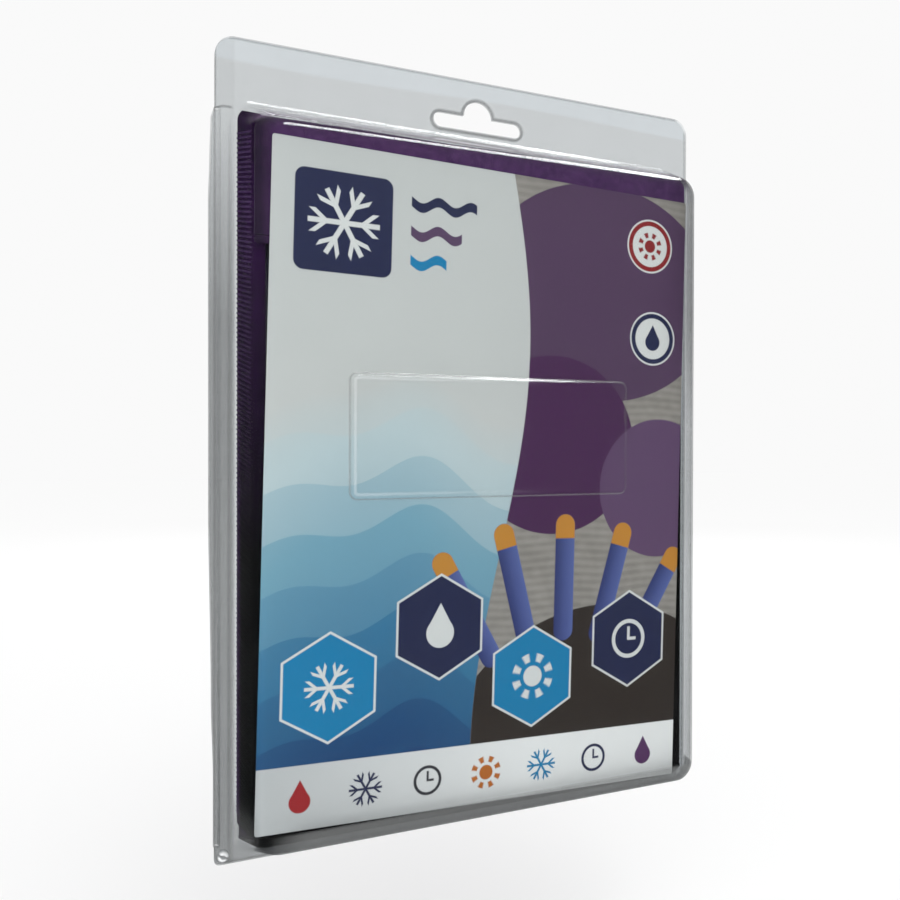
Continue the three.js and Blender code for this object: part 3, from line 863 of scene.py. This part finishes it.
# emblem at the top left, and two small rings at the right
a, b = x + 51, z - 78
ground = nodes.blend(inside(box(a, b, 15, 15, 3)), ground, ink_navy)
ground = nodes.blend(inside(flake(a, b, 11)), ground, board_white)
for height, half, colour in (
    (87, 11, ink_navy), (78, 8.5, linear(96, 72, 104)), (69, 6, ink_cyan),
):
    ripple = abs(z - height - wave(x, 11, 1.0) * 1.2) - 1.5
    ripple = nodes.high(ripple, abs(x + 30 - half) - half)
    ground = nodes.blend(inside(ripple), ground, colour)
for tx, tz, colour, sign in ((58, 84, linear(150, 40, 44), sun), (60, 52, ink_navy, drop)):
    a, b = x - tx, z - tz
    ground = nodes.blend(inside(disc(a, b, 9.3)), ground, board_white)
    ground = nodes.blend(inside(abs(disc(a, b, 7.9)) - 0.8), ground, colour)
    ground = nodes.blend(inside(sign(a, b, 4.8)), ground, colour)
# row of small signs on the foot strip
for index, (sign, colour) in enumerate((
    (drop, linear(170, 40, 44)), (flake, ink_navy), (dial, linear(60, 60, 66)),
    (sun, linear(196, 110, 40)), (flake, ink_cyan), (dial, ink_navy), (drop, linear(96, 58, 104)),
)):
    a, b = x + 60 - index * 20, z + 91.5
    ground = nodes.blend(inside(sign(a, b, 5.2)), ground, colour)
grain = nodes.noise(local, 1.6, 2)
sockets = {
    "Base Color": ground,
    "Roughness": nodes.clamped(grain * 0.12 + 0.32),
    "Coat Weight": 0.25,
    "Normal": nodes.bump(grain, 0.00002),
}
nodes.surface(nodes.node("ShaderNodeBsdfPrincipled", None, sockets))


def rounded_ring(half, top, foot, radius, y, steps=12):
    """A rounded rectangle at depth y, turning anticlockwise as seen from the front."""
    corners = (
        (half - radius, foot + radius, -90), (half - radius, top - radius, 0),
        (radius - half, top - radius, 90), (radius - half, foot + radius, 180),
    )
    return [
        (cx + radius * math.cos(turn), y, cz + radius * math.sin(turn))
        for cx, cz, start in corners
        for turn in map(math.radians, spread(start, start + 90, steps))
    ]


rings = [
    rounded_ring(card_half, card_high, -card_high, 0.8, y, 5) for y in (card_rear, card_front)
]
turned_card, card_place = Matrix.Rotation(card_tilt, 3, "Y"), Vector((0, 0, card_middle))
points = [tuple(turned_card @ Vector(p) + card_place) for ring in rings for p in ring]
card = piece("card", points, loft_faces(2, len(rings[0])), card_print, crease=30)
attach(card, "filled_tray")
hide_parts("insert_card")

# Front shell. One sheet of clear plastic, drawn hot over a mould: flange and header with
# the hang slot, the deep tray with its raised frame, and the domed press studs.
flange_half, flange_foot, header_rise = 85.0, -231.8, 14.2
header_corner, foot_corner = 6.0, 1.6
cut_x, cut_top, cut_foot = -83.4, -7.3, -226.4
stud_radius, stud_height, stud_inset, stud_flat, stud_fillet = 1.9, 1.6, 2.5, 0.45, 0.15
slot_half, slot_high, hump_radius = 16.0, 2.5, 5.2
plaque_half, plaque_high, plaque_corner = 47.5, 18.7, 2.6
plaque_shift, plaque_middle, face_depth = -2.1, -104.35, parting + tray_depth
bead_high, field_high, bead_start, bead_full, field_start = 1.1, 0.55, -0.3, 1.3, 3.4
flat_band, least_corner = 0.4, 1.2
clear_sheet, nodes = material_nodes("clear sheet")
place = nodes.place()
x, y, z = nodes.axes(place)
facing = nodes.node("ShaderNodeLayerWeight", None, {"Blend": 0.5}, out=1)
across_mm, out_mm, up_mm = x * 1000, y * -1000, z * 1000
# the sheet mirrors more at a glancing angle, and less in the tray's left wall
left_wall = nodes.clamped(-73 - across_mm) * nodes.clamped(out_mm - 1.5)
mirror = (facing ** 5 * 0.96 + 0.04) * (1 - left_wall * 0.65)
ripple = nodes.bump(nodes.noise(place, 34, 1), 0.0006, 0.6)


def line(distance, at, width):
    """A soft line where a distance has a value."""
    return nodes.clamped(1 - abs(distance - at) / width)


def either(factor, first, second):
    """A shader between two, the second where the factor is 1."""
    return nodes.node("ShaderNodeMixShader", None, {0: factor, 1: first, 2: second})


# the upper half of the header is a little clearer than the rest
clearer = nodes.clamped((up_mm - 7.2 - wave(across_mm, 150, 0.8) * 0.7) / 1.2)
lower_clear = nodes.node("ShaderNodeBsdfTransparent", None, {"Color": (0.925, 0.934, 0.938, 1)})
upper_clear = nodes.node("ShaderNodeBsdfTransparent", None, {"Color": (0.942, 0.956, 0.964, 1)})
gloss = nodes.node(
    "ShaderNodeBsdfGlossy", None, {"Color": (1, 1, 1, 1), "Roughness": 0.06, "Normal": ripple}
)
clean = either(mirror, either(clearer, lower_clear, upper_clear), gloss)
# painted shade and painted highlights: thin grey or white lines along the bends and cut edges
frame_gap = box(
    across_mm - plaque_shift, up_mm - plaque_middle, plaque_half, plaque_high, plaque_corner
)
on_face = nodes.clamped(out_mm - 19.6)
frame_painted_shade = line(frame_gap, -0.25, 0.42) * on_face
left_side = nodes.clamped((20 - across_mm) / 66)
frame_painted_highlight = line(frame_gap, -1.7, 0.8) * on_face * left_side
hump = nodes.high(disc(across_mm, up_mm - slot_high, hump_radius), -up_mm)
slot_gap = nodes.low(box(across_mm, up_mm, slot_half, slot_high, slot_high), hump)
slot_edge = line(slot_gap, 0.45, 0.75)
flange_middle, on_flange = (header_rise + flange_foot) / 2, nodes.clamped(2 - out_mm)
outline = box(across_mm, up_mm - flange_middle, flange_half, header_rise - flange_middle, 4)
rim = line(outline, -0.1, 0.5) * on_flange
shoulder = line(up_mm + 6.6 + nodes.clamped((-82 - across_mm) / 3) ** 2 * 1.2, 0, 0.3)
shoulder = shoulder * nodes.clamped(-79.5 - across_mm)
rear_line = line(across_mm, -80.7, 0.8)
# painted highlights on the studs, and painted reflections on the tray's top and foot walls
stud_a = abs(across_mm) - (flange_half - stud_inset)
stud_b = up_mm - (flange_foot + stud_inset)
crescents = nodes.clamped(abs(stud_b - stud_a * 0.5) * 2 - 0.3)
# painted highlight: two white crescents on each stud
stud_painted_highlight = line(disc(stud_a, stud_b, 1.0), 0, 0.75) * crescents
deep = nodes.clamped(out_mm - 12)
# painted reflection: grey over the tray's foot wall
foot_wall_painted_reflection = nodes.clamped((-216.9 - up_mm) / 0.9) * deep * nodes.clamped((across_mm + 72) / 10)
pale = nodes.clamped(frame_painted_highlight * 2 + stud_painted_highlight * 2)
# painted reflection: lilac on the tray's top wall, for the purple wallet seen through it
top_wall_painted_reflection = nodes.clamped((out_mm - 7) / 6) * nodes.clamped((up_mm + 15) / 1.2)
grey_and_painted_lilac = nodes.blend(top_wall_painted_reflection, (0.22, 0.225, 0.225), linear(150, 124, 160))
# the colour of the rub, and of the painted shade, reflections and highlights
scuff_and_painted_light = nodes.node("ShaderNodeBsdfPrincipled", None, {
    "Base Color": nodes.blend(pale, grey_and_painted_lilac, (0.8, 0.81, 0.82)), "Roughness": 0.45,
})
rub = nodes.noise(place, 60, 4)
# painted shade: grey in the left flange, more lower down, in the right bend and the lower left
# corner
left = nodes.clamped((-78.8 - across_mm) / 0.9)
lower = nodes.clamped((-10 - up_mm) / 60)
right_bend_painted_shade = nodes.clamped((across_mm - 70.5) / 2) * deep
right_bend_painted_shade = right_bend_painted_shade * (nodes.clamped((up_mm + 100) / 40) * 0.22 + 0.07)
foot_flange = nodes.clamped((-225 - up_mm) / 2) * nodes.clamped((-50 - across_mm) / 20) * on_flange
foot_wall = nodes.clamped((-212 - up_mm) / 10) * nodes.clamped((-74 - across_mm) / 2)
foot_left = nodes.high(foot_flange * 0.2, foot_wall * 0.15) * (1 - left)
# where the sheet is dull: a random rub, and the painted shade, highlights and reflections
rub_and_painted_light = nodes.clamped(
    rub * 0.02 + left * (lower * 0.24 + 0.02) + rear_line * lower * 0.1 + right_bend_painted_shade + foot_left
    + top_wall_painted_reflection * 0.2 + foot_wall_painted_reflection * 0.34 + frame_painted_shade * 0.42 + frame_painted_highlight * 0.13
    + slot_edge * 0.32 + stud_painted_highlight * 0.75 + rim * 0.22 + shoulder * 0.45
)
nodes.surface(either(rub_and_painted_light, clean, scuff_and_painted_light))


def arc(cx, cz, radius, start, end, steps):
    return [
        (cx + radius * math.cos(a), cz + radius * math.sin(a))
        for a in map(math.radians, spread(start, end, steps))
    ]


def flange_outline():
    half, foot = flange_half, flange_foot
    points = arc(half - foot_corner, foot + foot_corner, foot_corner, -90, 0, 8)
    points += arc(half - header_corner, header_rise - header_corner, header_corner, 0, 90, 16)
    points += arc(header_corner - half, header_rise - header_corner, header_corner, 90, 180, 16)
    points += [(-half, cut_top), (cut_x, cut_top), (cut_x, cut_foot), (-half, cut_foot)]
    return points + arc(foot_corner - half, foot + foot_corner, foot_corner, 180, 270, 8)


def slot_outline():
    straight = slot_half - slot_high
    points = [(-straight, -slot_high), (straight, -slot_high)]
    points += arc(straight, 0, slot_high, -90, 90, 14)[1:]
    points += arc(0, slot_high, hump_radius, 0, 180, 24) + [(-straight, slot_high)]
    return points + arc(-straight, 0, slot_high, 90, 270, 14)[1:-1]


def formed_sheet(name, side, depth, tray, plaque, stud, material):
    """A flange, filled between its outline and its openings, with forms drawn out of it."""
    form = bmesh.new()
    edges = []

    def loop(points, closed_edges=True):
        corners = [form.verts.new((a * MM, d * MM, b * MM)) for a, d, b in points]
        if closed_edges:
            for first, second in zip(corners, corners[1:] + corners[:1]):
                edges.append(form.edges.new((first, second)))
        return corners

    def draw_out(first, rings, cap):
        last = first
        for ring in rings:
            following = loop(ring, False)
            for k in range(len(last)):
                n = (k + 1) % len(last)
                form.faces.new((last[k], last[n], following[n], following[k]))
            last = following
        if cap == "flat":
            form.faces.new(last)
        else:
            peak = form.verts.new([c * MM for c in cap])
            for k in range(len(last)):
                form.faces.new((last[k], last[(k + 1) % len(last)], peak))

    level = side * parting
    loop([(a, level, b) for a, b in flange_outline()])
    loop([(a, level, b) for a, b in slot_outline()])
    base = loop(tray[0])
    stud_bases = []
    for sign in (-1, 1):
        cx, cz = sign * (flange_half - stud_inset), flange_foot + stud_inset
        rings = []
        for radius, height in stud:
            rings.append([(a, side * height, b) for a, b in arc(cx, cz, radius, 0, 360, 20)[:-1]])
        stud_bases.append((loop(rings[0]), rings[1:], (cx, side * depth, cz)))
    bmesh.ops.triangle_fill(form, use_beauty=True, edges=edges)
    draw_out(base, tray[1:] + plaque, "flat")
    for ring, rings, cap in stud_bases:
        draw_out(ring, rings, cap)
    bmesh.ops.recalc_face_normals(form, faces=form.faces)
    form.faces.ensure_lookup_table()
    highest = max(form.faces, key=lambda face: face.calc_area())
    if highest.normal.y * side < 0:
        bmesh.ops.reverse_faces(form, faces=form.faces)
    mesh = bpy.data.meshes.new(name)
    form.to_mesh(mesh)
    form.free()
    mesh.polygons.foreach_set("use_smooth", [True] * len(mesh.polygons))
    mesh.materials.append(material)
    obj = shown(name, mesh)
    thicken(obj, sheet, -1.0, even=True)
    return obj


def tray_rings(
    side, half, top, foot, depth, base_corner, face_corner, flares, fillet, round_up, side_round
):
    """Rings of a tray from a flat band on the flange to a flat band on its face."""
    profile = [(0, -fillet - 0.6, 0)]
    profile += eased((0, -fillet, 0), (0, 0, 0), (fillet / depth, 0, fillet), 5)
    edge = 1 - round_up / depth
    profile += eased((edge, 0, depth - round_up), (1, 0, depth), (1, round_up, depth), 9)
    profile.append((1, round_up + 0.5, depth))
    rings = []
    for share, inset_, rise in profile:
        radius = max(base_corner + (face_corner - base_corner) * share - inset_, 0.6)
        wide = inset_ + max(inset_, 0) * (side_round / round_up - 1)
        rings.append(rounded_ring(
            half - share * flares[0] - wide, top - share * flares[1] - inset_,
            foot + share * flares[2] + inset_, radius, side * (parting + rise),
        ))
    return rings


front_rings = tray_rings(
    side=-1, half=tray_half, top=tray_top, foot=-228.8, depth=tray_depth,
    base_corner=tray_corner, face_corner=face_corner, flares=tray_flares,
    fillet=1.6, round_up=3.0, side_round=4.8,
)


def half_wave(start, end, low, high, count):
    """Pairs of inset and rise along half a wave, from one height to another."""
    middle, half = (low + high) / 2, (high - low) / 2
    return [
        (start + (end - start) * k / count, middle - half * math.cos(math.pi * k / count))
        for k in range(count + 1)
    ]


# the frame is a bead, and the field inside it stands half as high
steps = [(bead_start - flat_band, 0)]
steps += half_wave(bead_start, bead_full, 0, bead_high, 9)
steps += half_wave(bead_full + flat_band, field_start, bead_high, field_high, 8)
steps.append((field_start + flat_band, field_high))
plaque_rings = []
for step_in, rise in steps:
    ring = rounded_ring(
        plaque_half - step_in, plaque_high - step_in, step_in - plaque_high,
        max(plaque_corner - step_in * 0.3, least_corner), -(face_depth + rise),
    )
    plaque_rings.append([(a + plaque_shift, y, b + plaque_middle) for a, y, b in ring])


def stud_profile(radius, height, level):
    """Rings of a dome whose middle is on the parting plane, from the sheet's face up."""
    foot_radius = radius * math.sqrt(1 - (level / height) ** 2)
    rings = [(foot_radius + stud_flat, level), (foot_radius + stud_fillet, level + 0.02)]
    start = math.asin(level / height)
    for k in range(1, 7):
        a = start + (math.pi / 2 - start) * k / 7
        rings.append((radius * math.cos(a), height * math.sin(a)))
    return rings


front_shell_sheet = formed_sheet(
    "front_shell_sheet", -1, stud_height, front_rings, plaque_rings,
    stud_profile(stud_radius, stud_height, parting), clear_sheet,
)
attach(front_shell_sheet, "filled_tray")
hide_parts("front_shell")

# Rear shell. The same clear sheet folded behind the tray, with its own flange and header, a
# shallow flat panel behind the wallet, and nubs that press into the studs.
rear_rings = tray_rings(
    side=1, half=81.1, top=-4.5, foot=-229.7, depth=2.0, base_corner=5.5, face_corner=5.5,
    flares=(1.2, 1.2, 1.2), fillet=0.4, round_up=0.9, side_round=0.9,
)
nub_radii = (1.6, 1.3, 1.0)
rear_shell_sheet = formed_sheet(
    "rear_shell_sheet", 1, parting + 0.02, rear_rings, [],
    [(radius, parting) for radius in nub_radii], clear_sheet,
)
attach(rear_shell_sheet, "rear_lid")
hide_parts("rear_shell")

# Living hinge. The sheet is left whole down the left side and folded back on itself there,
# in a round bead that bows out most in its upper half.
hinge_x, hinge_radius, lip_x = -85.3, 1.6, -83.42
hinge_top, hinge_foot, fold_sheet = -7.6, -226.1, 0.36
section = [(lip_x, -parting + fold_sheet / 2)]
middle_radius = hinge_radius - fold_sheet / 2
lip_angle = math.degrees(math.asin((parting - fold_sheet / 2) / middle_radius))
section += arc(hinge_x, 0, middle_radius, -lip_angle, lip_angle - 360, 32)
section.append((lip_x, parting - fold_sheet / 2))
bow_stops = (
    (hinge_top, 0.5), (-10.7, 0.76), (-22, 0.86), (-35, 0.98),
    (-124, 0.95), (-182, 0.71), (-206, 0.52), (hinge_foot, 0.52),
)


def bow_at(z):
    """The share of the bead's full reach at a height."""
    for (z0, s0), (z1, s1) in zip(bow_stops, bow_stops[1:]):
        if z >= z1:
            t = (z0 - z) / (z0 - z1)
            return s0 + (s1 - s0) * t * t * (3 - 2 * t)
    return bow_stops[-1][1]


rows = []
for z in spread(hinge_foot, hinge_top, 73):
    share = bow_at(z)
    rows.append([(lip_x + (a - lip_x) * share, y, z) for a, y in section])
hinge_bead = sheet_rows("hinge_bead", rows, fold_sheet, clear_sheet)
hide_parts("living_hinge")
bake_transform(hinge_bead)

# Studio. A plain pale floor under a bright even sky, soft lights above and at the left, and
# the camera where the photograph was taken from.
floor_paint, nodes = material_nodes("pale floor")
x, y, z = nodes.axes(nodes.place())
distance = nodes.clamped(root(x * x + y * y) / 1.6 - 0.15)
nodes.surface(nodes.node("ShaderNodeBsdfPrincipled", None, {
    "Base Color": nodes.blend(distance, (0.9, 0.9, 0.9), (1.0, 1.0, 1.0)),
    "Roughness": 1.0,
    "Specular IOR Level": 0.0,
}))
ground_level, reach = -285, 4000
corners = [(a * reach, b * reach, ground_level) for a, b in ((-1, -1), (1, -1), (1, 1), (-1, 1))]
floor = piece("floor", corners, [(0, 1, 2, 3)], floor_paint)
floor.visible_glossy = False

world = bpy.data.worlds.new("studio sky")
bpy.context.scene.world = world
world.use_nodes = True
nodes = Nodes(world.node_tree)
skies = [
    nodes.node("ShaderNodeBackground", None, {"Color": (*colour, 1), "Strength": strength})
    for colour, strength in (((0.955, 0.955, 0.955), 1.0), ((0.9, 0.905, 0.91), 0.035))
]
mirrored = nodes.node("ShaderNodeLightPath", out=3)
nodes.node("ShaderNodeOutputWorld", None, {"Surface": either(mirrored, *skies)})
pack_middle = Vector((0, 0, -0.11))


def softbox(name, place, size, power, mirrored=True, lighting=True):
    """A lamp that faces the pack. It may be left out of reflections, or only be seen in them."""
    light = bpy.data.lights.new(name, "AREA")
    light.shape, light.size, light.size_y = "RECTANGLE", size[0], size[1]
    light.energy = power
    lamp = shown(name, light)
    lamp.location = place
    aim = pack_middle - Vector(place)
    lamp.rotation_euler = aim.to_track_quat("-Z", "Y").to_euler()
    lamp.visible_camera = False
    lamp.visible_glossy = mirrored
    lamp.visible_diffuse = lighting


softbox("top light", (0.35, -0.35, 0.75), (1.3, 0.2), 1.5, mirrored=False)
softbox("top gleam", (0.35, -0.25, 0.8), (1.3, 0.12), 9.5, lighting=False)
softbox("rear softbox", (0.45, 1.0, 0.55), (1.4, 0.6), 1.75)
softbox("front fill", (-0.5, -0.75, -0.1), (0.6, 0.3), 3.2, mirrored=False)

camera = bpy.data.cameras.new("camera")
camera.lens = 32.46
camera.sensor_width = 36
camera_stand = shown("camera", camera)
right = (0.92554, -0.37863, 0.00262)
up = (0.00002, 0.00697, 0.99998)
back = (-0.37864, -0.92552, 0.00646)
camera_place = (-0.11136, -0.24854, -0.10679)
turn = Matrix((right, up, back)).transposed().to_4x4()
camera_stand.matrix_world = Matrix.Translation(camera_place) @ turn
bpy.context.scene.camera = camera_stand
bpy.context.scene.view_settings.view_transform = "Standard"
bpy.context.scene.cycles.transparent_max_bounces = 24
